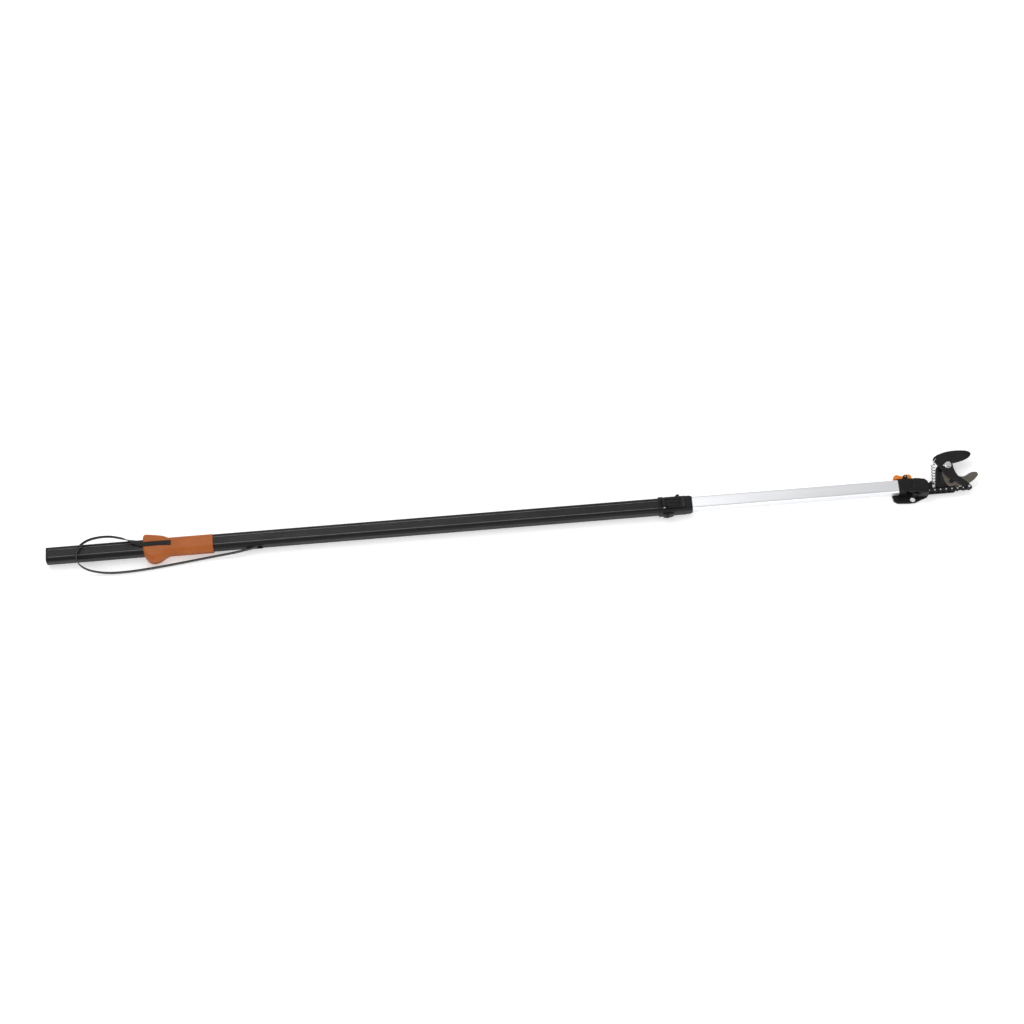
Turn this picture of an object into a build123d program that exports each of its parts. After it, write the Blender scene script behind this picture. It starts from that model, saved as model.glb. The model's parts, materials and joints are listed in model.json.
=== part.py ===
"""Telescoping pole pruner with a pull grip, lying on its side.

X runs along the pole to the cutting head, Y lies in the plane of the jaw and
Z is square to the jaw. The origin is the centre of the lower end face, and
the pruner rests on a surface at Z = -20. All sizes are in millimetres.
"""

from build123d import *
from math import cos, pi, radians, sin, tan
import os

os.makedirs("parts", exist_ok=True)

# Resting plane and the two tubes
REST_Z = -20.0
TUBE_WIDTH = 39.0
TUBE_HEIGHT = 32.0
TUBE_RADIUS = 8.5
TUBE_WALL = 1.8
PANEL_WIDTH = 17.5
PANEL_DEPTH = 0.7
END_FLANGE = 4.0
TUBE_END = 1545.0
INNER_WIDTH = 34.5
INNER_HEIGHT = 27.0
INNER_RADIUS = 6.0
INNER_WALL = 1.5
INNER_START = 600.0
INNER_END = 2112.0

# Pull strap and the slot where it enters the pole
STRAP_WIDTH = 12.0
STRAP_THICKNESS = 2.0
SLOT_X = 514.0
SLOT_LENGTH = 36.0
SLOT_HEIGHT = 12.8
GUIDE_RIM = 4.0

# Pull grip
GRIP_START = 240.0
FLARE_END = 306.0
GRIP_END = 412.0
GRIP_CLEARANCE = 0.35
GRIP_TOP = 18.5
CHANNEL_Y = 3.0

# Telescope clamp
COLLAR_START = 1515.0
COLLAR_END = 1583.0
COLLAR_WIDTH = 42.0
COLLAR_HEIGHT = 35.4
FLANGE_LENGTH = 12.0
RING_END = 1595.0
LIP_END = 1599.0
SLIDE_CLEARANCE = 0.35
LEVER_X = 1529.0
LEVER_Z = 22.6
LEVER_LENGTH = 51.0
LEVER_WIDTH = 27.0
LEVER_HUB = 4.4

# Head adapter, swivel and latch
ADAPTER_END = 2130.0
SWIVEL_X = 2163.0
EAR_INSIDE = 10.0
EAR_OUTSIDE = 14.0
EAR_RADIUS = 16.0
STUB_RADIUS = 5.8
DISC_RADIUS = 18.2
DISC_LOW = 5.5
DISC_HIGH = 9.5
LATCH_X = 2132.0
LATCH_Y = 24.0
LATCH_HALF = 9.0

# Casing shells
SHELL_INSIDE = 14.2
WALL_TOP = 9.6
WALL_RADIUS = 25.6
WALL_START = 224
WALL_TURN = 58
FRONT_OUTSIDE = 19.0
NECK_START = 2179.0
NECK_END = 2185.0
HANG_X = 2147.0
HANG_Y = -28.4
HANG_RADIUS = 6.8

# Cutting head
PIVOT_X = 2243.0
PIVOT_Y = 47.0
PLATE_BACK = -10.0
PLATE_FRONT = -5.5
COUNTER_BACK = 0.0
COUNTER_FRONT = 4.0
BLADE_BACK = 4.3
BLADE_FRONT = 9.0
PIVOT_SHANK = 4.0
BOSS_RADIUS = 13.0
COUNTER_BOLT_X = 2246.0
COUNTER_BOLT_Y = 4.6
TAIL_PIN_X = 44.0
TAIL_PIN_Y = -61.8
TAIL_PIN_RADIUS = 2.0

# Chain
CHAIN_Y = PIVOT_Y + TAIL_PIN_Y
CHAIN_PITCH = 14.2
CHAIN_LINKS = 7
LINK_RADIUS = 5.2
CHAIN_BACK = -5.0
CHAIN_FRONT = 4.0
LINK_THICKNESS = 1.5

# Return spring
SPRING_RADIUS = 3.8
SPRING_WIRE = 1.1
SPRING_Z = 6.6
SPRING_PITCH = 7.9
SPRING_BOTTOM = (2199.8, -1.4)
SPRING_TOP = (2207.2, 52.3)
ANCHOR = (2199.5, -6.6)
HEEL_HOLE = (-32.5, 16.5)


def save(part, name):
    part.label = name
    export_step(part, f"parts/{name}.step")


def polar(radius, degrees):
    return (radius * cos(radians(degrees)), radius * sin(radians(degrees)))


# ---------------------------------------------------------------- outer pole
with BuildPart() as outer_tube:
    with BuildSketch(Plane.YZ.offset(END_FLANGE)):
        RectangleRounded(TUBE_WIDTH, TUBE_HEIGHT, TUBE_RADIUS)
        RectangleRounded(
            TUBE_WIDTH - 2 * TUBE_WALL,
            TUBE_HEIGHT - 2 * TUBE_WALL,
            TUBE_RADIUS - TUBE_WALL,
            mode=Mode.SUBTRACT,
        )
        with Locations((0, TUBE_HEIGHT / 2), (0, -TUBE_HEIGHT / 2)):
            Rectangle(PANEL_WIDTH, 2 * PANEL_DEPTH, mode=Mode.SUBTRACT)
    extrude(amount=TUBE_END - END_FLANGE)
    with BuildSketch(Plane.XZ.offset(TUBE_WIDTH / 2 + 1)):
        with Locations((SLOT_X, 0)):
            RectangleRounded(SLOT_LENGTH + 4, SLOT_HEIGHT + 4, 5)
    extrude(amount=-5, mode=Mode.SUBTRACT)
save(outer_tube.part, "outer_tube")

with BuildPart() as pole_end_plug:
    with BuildSketch(Plane.YZ):
        RectangleRounded(TUBE_WIDTH, TUBE_HEIGHT, TUBE_RADIUS)
    extrude(amount=END_FLANGE)
    with BuildSketch(Plane.YZ.offset(END_FLANGE)):
        RectangleRounded(
            TUBE_WIDTH - 2 * TUBE_WALL,
            TUBE_HEIGHT - 2 * TUBE_WALL,
            TUBE_RADIUS - TUBE_WALL,
        )
        offset(amount=-2.5, mode=Mode.SUBTRACT)
    extrude(amount=22)
save(pole_end_plug.part, "pole_end_plug")

with BuildPart() as strap_guide:
    with BuildSketch(Plane.XZ.offset(TUBE_WIDTH / 2)):
        with Locations((SLOT_X, 0)):
            RectangleRounded(SLOT_LENGTH + 2 * GUIDE_RIM, SLOT_HEIGHT + 2 * GUIDE_RIM, 7)
    extrude(amount=1.4)
    fillet(strap_guide.faces().sort_by(Axis.Y)[0].outer_wire().edges(), 1.0)
    with BuildSketch(Plane.XZ.offset(TUBE_WIDTH / 2)):
        with Locations((SLOT_X, 0)):
            RectangleRounded(SLOT_LENGTH + 4, SLOT_HEIGHT + 4, 5)
    extrude(amount=-TUBE_WALL)
    with BuildSketch(Plane.XZ.offset(TUBE_WIDTH / 2 + 3)):
        with Locations((SLOT_X, 0)):
            RectangleRounded(SLOT_LENGTH, SLOT_HEIGHT, 3)
    extrude(amount=-8, mode=Mode.SUBTRACT)
save(strap_guide.part, "strap_guide")

# ----------------------------------------------------------- telescope clamp
BELLY_START = COLLAR_START + 7
BELLY_END = BELLY_START + 36
BELLY_DEPTH = 6.0
LUG_INSIDE = 8.4
LUG_OUTSIDE = 12.4
PAD_START = 1549.0
PAD_END = 1577.0

with BuildPart() as collar_body:
    with BuildSketch(Plane.YZ.offset(COLLAR_START)):
        RectangleRounded(COLLAR_WIDTH + 2, COLLAR_HEIGHT + 2, 10)
    extrude(amount=FLANGE_LENGTH)
    fillet(collar_body.faces().sort_by(Axis.X)[0].edges(), 1.5)
    with BuildSketch(Plane.YZ.offset(COLLAR_START + FLANGE_LENGTH)):
        RectangleRounded(COLLAR_WIDTH, COLLAR_HEIGHT, 9)
    extrude(amount=COLLAR_END - COLLAR_START - FLANGE_LENGTH)
    # belly that holds the clamp screws, on the near side
    with BuildSketch(Plane.XY.offset(-9)):
        with BuildLine():
            Polyline(
                (BELLY_START, -COLLAR_WIDTH / 2 + 2),
                (BELLY_START + 5, -COLLAR_WIDTH / 2 - BELLY_DEPTH + 1),
                (BELLY_START + 10, -COLLAR_WIDTH / 2 - BELLY_DEPTH),
                (BELLY_START + 18, -COLLAR_WIDTH / 2 - BELLY_DEPTH),
                (BELLY_START + 27, -COLLAR_WIDTH / 2 - BELLY_DEPTH + 2),
                (BELLY_END, -COLLAR_WIDTH / 2 + 2),
                close=True,
            )
        make_face()
    extrude(amount=18)
    # wedge on the far side that stops the lever from twisting
    with BuildSketch(Plane.XY.offset(-5)):
        with BuildLine():
            Polyline(
                (1554, COLLAR_WIDTH / 2 - 2),
                (1563, COLLAR_WIDTH / 2 + 5.6),
                (1567.5, COLLAR_WIDTH / 2 + 6),
                (1571, COLLAR_WIDTH / 2 - 2),
                close=True,
            )
        make_face()
    extrude(amount=14)
    # lugs for the lever pin
    with BuildSketch(Plane.XZ.offset(-LUG_OUTSIDE)):
        with Locations((LEVER_X, LEVER_Z)):
            Circle(4.6)
        with Locations((LEVER_X, LEVER_Z - 5)):
            Rectangle(9.2, 10)
    extrude(amount=2 * LUG_OUTSIDE)
    with BuildSketch(Plane.XY.offset(COLLAR_HEIGHT / 2)):
        with Locations((LEVER_X, 0)):
            Rectangle(24, 2 * LUG_INSIDE)
    extrude(amount=16, mode=Mode.SUBTRACT)
    with Locations(Location((LEVER_X, 0, LEVER_Z), (90, 0, 0))):
        Hole(radius=2.0)
    # bores: over the outer tube, then around the inner tube
    with BuildSketch(Plane.YZ.offset(COLLAR_START - 1)):
        RectangleRounded(TUBE_WIDTH, TUBE_HEIGHT, TUBE_RADIUS)
    extrude(amount=TUBE_END - COLLAR_START + 1, mode=Mode.SUBTRACT)
    with BuildSketch(Plane.YZ.offset(TUBE_END)):
        RectangleRounded(
            INNER_WIDTH + 2 * SLIDE_CLEARANCE,
            INNER_HEIGHT + 2 * SLIDE_CLEARANCE,
            INNER_RADIUS + SLIDE_CLEARANCE,
        )
    extrude(amount=COLLAR_END - TUBE_END, mode=Mode.SUBTRACT)
    # pocket for the clamp pad
    with BuildSketch(Plane.XY.offset(INNER_HEIGHT / 2)):
        with Locations(((PAD_START + PAD_END) / 2, 0)):
            Rectangle(PAD_END - PAD_START, 16)
    extrude(amount=3.0, mode=Mode.SUBTRACT)
save(collar_body.part, "collar_body")

with BuildPart() as clamp_pad:
    with BuildSketch(Plane.XY.offset(INNER_HEIGHT / 2 + SLIDE_CLEARANCE)):
        with Locations(((PAD_START + PAD_END) / 2, 0)):
            RectangleRounded(PAD_END - PAD_START - 0.6, 15.4, 2)
    extrude(amount=3.0 - SLIDE_CLEARANCE)
save(clamp_pad.part, "clamp_pad")

with BuildPart() as collar_ring:
    with BuildSketch(Plane.YZ.offset(COLLAR_END)):
        RectangleRounded(COLLAR_WIDTH - 1.4, COLLAR_HEIGHT - 1.4, 8.5)
    extrude(amount=RING_END - COLLAR_END)
    fillet(collar_ring.faces().sort_by(Axis.X)[-1].edges(), 1.2)
    with BuildSketch(Plane.YZ.offset(RING_END)):
        RectangleRounded(COLLAR_WIDTH - 4, COLLAR_HEIGHT - 4, 8)
    extrude(amount=LIP_END - RING_END)
    with BuildSketch(Plane.YZ.offset(COLLAR_END)):
        RectangleRounded(
            INNER_WIDTH + 2 * SLIDE_CLEARANCE,
            INNER_HEIGHT + 2 * SLIDE_CLEARANCE,
            INNER_RADIUS + SLIDE_CLEARANCE,
        )
    extrude(amount=LIP_END - COLLAR_END, mode=Mode.SUBTRACT)
save(collar_ring.part, "collar_ring")

with BuildPart() as lever_pin:
    with BuildSketch(Plane.XZ.offset(-13.6)):
        with Locations((LEVER_X, LEVER_Z)):
            Circle(2.0)
    extrude(amount=27.2)
    # domed heads on both sides of the lugs
    for side in (1, -1):
        with BuildSketch(Plane.XZ.offset(side * LUG_OUTSIDE)):
            with Locations((LEVER_X, LEVER_Z)):
                Circle(2.9)
        extrude(amount=side * 1.6)
    chamfer(lever_pin.faces().sort_by(Axis.Y)[0].edges(), 0.6)
    chamfer(lever_pin.faces().sort_by(Axis.Y)[-1].edges(), 0.6)
save(lever_pin.part, "lever_pin")

with BuildPart() as collar_screws:
    with BuildSketch(Plane.XZ.offset(COLLAR_WIDTH / 2 + BELLY_DEPTH)):
        with Locations((BELLY_START + 14, -4.6), (BELLY_START + 14, 4.6)):
            Circle(2.6)
    extrude(amount=0.7)
    with BuildSketch(Plane.XZ.offset(COLLAR_WIDTH / 2 + BELLY_DEPTH + 0.7)):
        with Locations((BELLY_START + 14, -4.6), (BELLY_START + 14, 4.6)):
            Circle(2.6)
            RegularPolygon(1.4, 6, mode=Mode.SUBTRACT)
    extrude(amount=1.1)
save(collar_screws.part, "collar_screws")

LEVER_TOP = LEVER_Z + 1.4
with BuildPart() as lock_lever:
    with BuildSketch(Plane.XZ.offset(-LUG_INSIDE + 0.5)):
        with Locations((LEVER_X, LEVER_Z)):
            Circle(LEVER_HUB)
        with BuildLine():
            Polyline(
                (LEVER_X, LEVER_Z + LEVER_HUB - 0.2),
                (LEVER_X + 10, LEVER_TOP),
                (LEVER_X + 10, LEVER_TOP - 3.6),
                (LEVER_X, LEVER_Z - 2.4),
                close=True,
            )
        make_face()
    extrude(amount=2 * LUG_INSIDE - 1)
    with BuildSketch(Plane.XZ.offset(-LEVER_WIDTH / 2)):
        with BuildLine():
            Polyline(
                (LEVER_X + 7.5, LEVER_TOP + 0.6),
                (LEVER_X + 30, LEVER_TOP + 0.9),
                (LEVER_X + 45, LEVER_TOP - 0.6),
                (LEVER_X + LEVER_LENGTH, LEVER_TOP + 1.4),
                (LEVER_X + LEVER_LENGTH, LEVER_TOP - 1.4),
                (LEVER_X + 45, LEVER_TOP - 4.2),
                (LEVER_X + 30, LEVER_TOP - 3.0),
                (LEVER_X + 7.5, LEVER_TOP - 3.0),
                close=True,
            )
        make_face()
    extrude(amount=LEVER_WIDTH)
    with BuildSketch(Plane.XY.offset(LEVER_TOP)):
        with GridLocations(0, 8.5, 1, 3):
            with Locations((LEVER_X + 24, 0)):
                SlotOverall(34, 3.4)
    extrude(amount=2.2)
    with Locations(Location((LEVER_X, 0, LEVER_Z), (90, 0, 0))):
        Hole(radius=2.15)
save(lock_lever.part, "lock_lever")

# ----------------------------------------------------------------- pull grip
# Each section: X, far half width, near half width, half height
FLARE = (
    (GRIP_START, 29.0, 18.5, 16.8),
    (GRIP_START + 3, 32.6, 23.0, 19.6),
    (GRIP_START + 11, 32.6, 34.5, 20.6),
    (GRIP_START + 21, 31.2, 39.4, 20.8),
    (GRIP_START + 33, 29.2, 39.0, 20.8),
    (GRIP_START + 45, 27.2, 33.7, 20.4),
    (GRIP_START + 56, 23.6, 26.8, 19.4),
    (FLARE_END, 21.0, 23.6, GRIP_TOP),
)
CHANNEL_FLOOR = 16.9
CHANNEL_END = 309.0
CLAMP_LENGTH = 10.0
CLAMP_TOP = CHANNEL_FLOOR + STRAP_THICKNESS + 1.2

with BuildPart() as grip_sleeve:
    for x, far, near, half in FLARE:
        with BuildSketch(Plane.YZ.offset(x)):
            with Locations(((far - near) / 2, 0)):
                RectangleRounded(far + near, 2 * half, min(half - 4, 13))
    loft()
    with BuildSketch(Plane.YZ.offset(FLARE_END)):
        with Locations(((21.0 - 23.6) / 2, 0)):
            RectangleRounded(21.0 + 23.6, 2 * GRIP_TOP, 13)
    extrude(amount=GRIP_END - FLARE_END)
    fillet(grip_sleeve.faces().sort_by(Axis.X)[-1].edges(), 1.0)
    with BuildSketch(Plane.YZ.offset(GRIP_START - 1)):
        RectangleRounded(
            TUBE_WIDTH + 2 * GRIP_CLEARANCE,
            TUBE_HEIGHT + 2 * GRIP_CLEARANCE,
            TUBE_RADIUS + GRIP_CLEARANCE,
        )
    extrude(amount=GRIP_END - GRIP_START + 2, mode=Mode.SUBTRACT)
    # strap channel
    with BuildSketch(Plane.XY.offset(CHANNEL_FLOOR)):
        with Locations(((GRIP_START + CHANNEL_END) / 2 - 2, CHANNEL_Y)):
            Rectangle(CHANNEL_END - GRIP_START + 4, STRAP_WIDTH + 1)
    extrude(amount=6, mode=Mode.SUBTRACT)
    # flat underside that the grip lies on
    with BuildSketch(Plane.XY.offset(REST_Z)):
        with Locations(((GRIP_START + GRIP_END) / 2, 0)):
            Rectangle(GRIP_END - GRIP_START + 4, 100)
    extrude(amount=-4, mode=Mode.SUBTRACT)
save(grip_sleeve.part, "grip_sleeve")

with BuildPart() as strap_end:
    with BuildSketch(Plane.XY.offset(CHANNEL_FLOOR)):
        with Locations(((GRIP_START + CHANNEL_END) / 2 - 1.3, CHANNEL_Y)):
            Rectangle(CHANNEL_END - GRIP_START + 2, STRAP_WIDTH)
    extrude(amount=STRAP_THICKNESS)
save(strap_end.part, "strap_end")

CLAMP_X = CHANNEL_END - 0.2 - CLAMP_LENGTH / 2
with BuildPart() as strap_clamp:
    with BuildSketch(Plane.XY.offset(CHANNEL_FLOOR + STRAP_THICKNESS)):
        with Locations((CLAMP_X, CHANNEL_Y)):
            RectangleRounded(CLAMP_LENGTH, STRAP_WIDTH + 0.6, 1)
    extrude(amount=CLAMP_TOP - CHANNEL_FLOOR - STRAP_THICKNESS)
    chamfer(strap_clamp.faces().sort_by(Axis.Z)[-1].edges(), 0.4)
save(strap_clamp.part, "strap_clamp")

with BuildPart() as clamp_screws:
    with Locations(
        (CLAMP_X, CHANNEL_Y - 3.2, CLAMP_TOP),
        (CLAMP_X, CHANNEL_Y + 3.2, CLAMP_TOP),
    ):
        Cylinder(1.6, 0.7, align=(Align.CENTER, Align.CENTER, Align.MIN))
save(clamp_screws.part, "clamp_screws")

# -------------------------------------------------------------- free strap
# The webbing turns onto its edge here, so a round cord of the same section
# area stands for it along its centre line.
CORD_RADIUS = 2.76
STRAP_ROUTE = (
    (GRIP_START - 3.4, 3.6, 18),
    (213, 13, 21),
    (188, 22.5, 23.8),
    (154, 30.5, 25),
    (112, 27, 25),
    (86, 13, 24.5),
    (73.5, -10, 24),
    (78.5, -32, 12),
    (99, -44, -4),
    (137, -51, -13.8),
    (180, -53.5, -13.9),
    (245, -50, -13.8),
    (320, -41.5, -13.9),
    (385, -34, -12.5),
    (435, -30, -8),
    (477, -28, -1.5),
    (520, -19.5, 0),
)
corners = [Vector(*point) for point in STRAP_ROUTE]
runs = [end - start for start, end in zip(corners, corners[1:])]
radii = []
for before, after in zip(runs, runs[1:]):
    half_turn = radians(before.get_angle(after)) / 2
    radii.append(0.45 * min(before.length, after.length) / tan(half_turn))
print("strap radii", [round(radius) for radius in radii])

with BuildPart() as pull_strap:
    with BuildLine() as strap_line:
        FilletPolyline(*corners, radius=radii)
    with BuildSketch(Plane(origin=corners[0], z_dir=runs[0])):
        Circle(CORD_RADIUS)
    sweep(path=strap_line.wire())
strap_length = strap_line.wire().length
print("strap length", round(strap_length), "volume", round(pull_strap.part.volume))
print("section x length", round(strap_length * pi * CORD_RADIUS**2))
save(pull_strap.part, "pull_strap")

# ---------------------------------------------------------------- inner pole
BORE_WIDTH = INNER_WIDTH - 2 * INNER_WALL
BORE_HEIGHT = INNER_HEIGHT - 2 * INNER_WALL
BORE_RADIUS = INNER_RADIUS - INNER_WALL
SCREW_X = INNER_END - 10
CHANNEL_HALF = 11.5
CHANNEL_HEIGHT = 14.0

with BuildPart() as inner_tube:
    with BuildSketch(Plane.YZ.offset(INNER_START)):
        RectangleRounded(INNER_WIDTH, INNER_HEIGHT, INNER_RADIUS)
        RectangleRounded(BORE_WIDTH, BORE_HEIGHT, BORE_RADIUS, mode=Mode.SUBTRACT)
    extrude(amount=INNER_END - INNER_START)
    with BuildSketch(Plane.XZ.offset(-INNER_WIDTH)):
        with Locations((SCREW_X, 0)):
            Circle(2.0)
    extrude(amount=2 * INNER_WIDTH, mode=Mode.SUBTRACT)
save(inner_tube.part, "inner_tube")

with BuildPart() as inner_foot:
    with BuildSketch(Plane.YZ.offset(INNER_START - 10)):
        RectangleRounded(34.7, 27.7, 6.3)
    extrude(amount=10)
    with BuildSketch(Plane.YZ.offset(INNER_START)):
        RectangleRounded(BORE_WIDTH, BORE_HEIGHT, BORE_RADIUS)
    extrude(amount=22)
    with BuildSketch(Plane.YZ.offset(INNER_START - 11)):
        RectangleRounded(26, 17, 4)
    extrude(amount=34, mode=Mode.SUBTRACT)
save(inner_foot.part, "inner_foot")

with BuildPart() as inner_strap:
    with BuildSketch(Plane.XY.offset(-STRAP_WIDTH / 2 + 0.5)):
        with BuildLine():
            Polyline(
                (INNER_START - 8, -8.5),
                (SWIVEL_X - 11, -8.5),
                (SWIVEL_X + 13.6, CHAIN_Y - 1),
                (SWIVEL_X + 13.6, CHAIN_Y + 1),
                (SWIVEL_X - 11, -6.5),
                (INNER_START - 8, -6.5),
                close=True,
            )
        make_face()
    extrude(amount=STRAP_WIDTH - 1)
save(inner_strap.part, "inner_strap")

with BuildPart() as head_adapter:
    with BuildSketch(Plane.YZ.offset(INNER_END - 28)):
        RectangleRounded(BORE_WIDTH, BORE_HEIGHT, BORE_RADIUS)
    extrude(amount=28)
    with BuildSketch(Plane.YZ.offset(INNER_END)):
        RectangleRounded(INNER_WIDTH, INNER_HEIGHT + 1, INNER_RADIUS)
    extrude(amount=ADAPTER_END - INNER_END)
    # ears around the swivel, with an open space between them
    with BuildSketch(Plane.XY.offset(-EAR_OUTSIDE)):
        with Locations((SWIVEL_X, 0)):
            Circle(EAR_RADIUS)
        with Locations(((ADAPTER_END - 6 + SWIVEL_X) / 2, 0)):
            Rectangle(SWIVEL_X - ADAPTER_END + 6, 2 * EAR_RADIUS)
    extrude(amount=2 * EAR_OUTSIDE)
    with BuildSketch(Plane.XY.offset(-EAR_INSIDE)):
        with Locations(((ADAPTER_END + SWIVEL_X + 30) / 2, 0)):
            Rectangle(SWIVEL_X + 30 - ADAPTER_END, 2 * EAR_RADIUS + 2)
    extrude(amount=2 * EAR_INSIDE, mode=Mode.SUBTRACT)
    with Locations((SWIVEL_X, 0)):
        Hole(radius=STUB_RADIUS + 0.2)
    # channel for the strap and the chain
    with BuildSketch(Plane.YZ.offset(INNER_END - 30)):
        RectangleRounded(2 * CHANNEL_HALF, CHANNEL_HEIGHT, 3)
    extrude(amount=60, mode=Mode.SUBTRACT)
    # lugs of the latch
    for bottom in (LATCH_HALF + 0.4, -LATCH_HALF - 3.4):
        with BuildSketch(Plane.XY.offset(bottom)):
            with Locations((LATCH_X, LATCH_Y)):
                Circle(4.6)
            with BuildLine():
                Polyline(
                    (LATCH_X - 4.6, LATCH_Y),
                    (LATCH_X + 4.6, LATCH_Y),
                    (LATCH_X + 6, 14),
                    (LATCH_X - 10, 14),
                    close=True,
                )
            make_face()
        extrude(amount=3)
    with Locations((LATCH_X, LATCH_Y)):
        Hole(radius=1.5)
save(head_adapter.part, "head_adapter")

with BuildPart() as adapter_screws:
    for side in (1, -1):
        with BuildSketch(Plane.XZ.offset(side * (INNER_WIDTH / 2 - INNER_WALL))):
            with Locations((SCREW_X, 0)):
                Circle(2.0)
        extrude(amount=side * (INNER_WALL + 0.5))
save(adapter_screws.part, "adapter_screws")

with BuildPart() as latch_pin:
    with BuildSketch(Plane.XY.offset(-LATCH_HALF - 4.2)):
        with Locations((LATCH_X, LATCH_Y)):
            Circle(1.5)
    extrude(amount=2 * LATCH_HALF + 8.4)
save(latch_pin.part, "latch_pin")

with BuildPart() as latch_spring:
    with BuildLine() as latch_coil:
        Helix(pitch=0.8, height=1.6, radius=2.0, center=(2117, 17.6, 0), direction=(0, 1, 0))
    with BuildSketch(Plane(latch_coil.line @ 0, z_dir=latch_coil.line % 0)):
        Circle(0.3)
    sweep(path=latch_coil.line, is_frenet=True)
save(latch_spring.part, "latch_spring")

with BuildPart() as tilt_button:
    with BuildSketch(Plane.XY.offset(-LATCH_HALF)):
        with BuildLine():
            Polyline((2103, 25), (2103, 20.6), (2128, 19.4), (2146, 19.4), (2148, 24))
            Spline(
                (2103, 25),
                (2107, 29.4),
                (2112.5, 31),
                (2118, 28.9),
                (2124, 26.9),
                (2131, 28.4),
                (2138, 30.6),
                (2144, 29.2),
                (2148, 24),
            )
        make_face()
    extrude(amount=2 * LATCH_HALF)
    with BuildSketch(Plane.XY.offset(DISC_LOW)):
        with BuildLine():
            Polyline(
                (2141, 21),
                (2147.5, 22),
                (2153, 16.2),
                (2149.5, 15.0),
                (2144, 18.6),
                close=True,
            )
        make_face()
    extrude(amount=LATCH_HALF - DISC_LOW)
    with Locations((LATCH_X, LATCH_Y)):
        Hole(radius=1.65)
save(tilt_button.part, "tilt_button")

# ------------------------------------------------------------ swivel casings
with BuildPart() as casing_front:
    with BuildSketch(Plane.XY.offset(SHELL_INSIDE)) as front_outline:
        with BuildLine():
            Polyline(
                (2135, -20.5),
                (2136.5, -14),
                (2141, -8.5),
                (2147, -5.5),
                (2148, 13),
                (2153, 15.5),
                (2178, 11.5),
                (NECK_END, 3),
                (NECK_END, -24.5),
                (2177, -25.8),
                (2163, -25.8),
                (2155, -20.6),
                close=True,
            )
        make_face()
        fillet(front_outline.vertices(), 2.5)
    extrude(amount=FRONT_OUTSIDE - SHELL_INSIDE)
    fillet(casing_front.faces().sort_by(Axis.Z)[-1].edges(), 1.6)
    with BuildSketch(Plane.XY.offset(SHELL_INSIDE)):
        with Locations((SWIVEL_X, 0)):
            Circle(STUB_RADIUS)
    extrude(amount=DISC_HIGH - SHELL_INSIDE)
    with BuildSketch(Plane.XY.offset(SHELL_INSIDE)):
        with Locations(((NECK_START + NECK_END) / 2, -7.5)):
            Rectangle(NECK_END - NECK_START, 31)
    extrude(amount=5.8 - SHELL_INSIDE)
    with BuildSketch(Plane.XY.offset(5.8)):
        with Locations(((NECK_START + NECK_END) / 2, 2)):
            Rectangle(NECK_END - NECK_START, 12)
    extrude(amount=PLATE_FRONT - 5.8)
    # curved wall along the near side, which turns between the adapter's ears
    with BuildSketch(Plane.XY.offset(WALL_TOP)):
        with BuildLine(Plane.XY.offset(WALL_TOP).shift_origin(Vector(SWIVEL_X, 0, WALL_TOP))):
            wall = CenterArc((0, 0), WALL_RADIUS, WALL_START, WALL_TURN)
            Line(wall @ 1, (NECK_END - SWIVEL_X, -24.4))
            Line((NECK_END - SWIVEL_X, -24.4), (NECK_END - SWIVEL_X, -22.6))
            lining = CenterArc((0, 0), WALL_RADIUS - 2, WALL_START, WALL_TURN)
            Line((NECK_END - SWIVEL_X, -22.6), lining @ 1)
            Line(lining @ 0, wall @ 0)
        make_face()
    extrude(amount=-2 * WALL_TOP)
save(casing_front.part, "casing_front")

with BuildPart() as casing_back:
    with BuildSketch(Plane.XY.offset(-SHELL_INSIDE)) as back_outline:
        with BuildLine():
            Polyline(
                (2097, -11),
                (2100, -29),
                (2109, -35.2),
                (2138, -37.4),
                (2153, -36.6),
                (2166, -31),
                (NECK_END, -24),
                (NECK_END, 3),
                (2178, 11.5),
                (2153, 15.5),
                (2142, 10),
                (2118, -4),
                close=True,
            )
        make_face()
        fillet(back_outline.vertices(), 3)
    extrude(amount=REST_Z + SHELL_INSIDE)
    fillet(casing_back.faces().sort_by(Axis.Z)[0].edges(), 1.0)
    with BuildSketch(Plane.XY.offset(-SHELL_INSIDE)):
        with Locations((SWIVEL_X, 0)):
            Circle(STUB_RADIUS)
    extrude(amount=SHELL_INSIDE - EAR_INSIDE)
    with BuildSketch(Plane.XY.offset(-SHELL_INSIDE)):
        with Locations(((NECK_START + NECK_END) / 2, -6.5)):
            Rectangle(NECK_END - NECK_START, 29)
    extrude(amount=SHELL_INSIDE + PLATE_BACK)
    with Locations((HANG_X, HANG_Y)):
        Hole(radius=HANG_RADIUS)
save(casing_back.part, "casing_back")

with BuildPart() as index_disc:
    with BuildSketch(Plane.XY.offset(DISC_LOW)):
        with Locations((SWIVEL_X, 0)):
            Circle(DISC_RADIUS)
            with PolarLocations(DISC_RADIUS, 24):
                Circle(1.1, mode=Mode.SUBTRACT)
            Circle(2.0, mode=Mode.SUBTRACT)
        with Locations((SWIVEL_X + DISC_RADIUS, 0)):
            Rectangle(5.4, 40, mode=Mode.SUBTRACT)
    extrude(amount=DISC_HIGH - DISC_LOW)
save(index_disc.part, "index_disc")

with BuildPart() as disc_screw:
    with BuildSketch(Plane.XY.offset(DISC_LOW)):
        with Locations((SWIVEL_X, 0)):
            Circle(2.0)
    extrude(amount=DISC_HIGH - DISC_LOW)
    with BuildSketch(Plane.XY.offset(DISC_LOW)):
        with Locations((SWIVEL_X, 0)):
            Circle(3.6)
    extrude(amount=-1.4)
save(disc_screw.part, "disc_screw")

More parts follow.
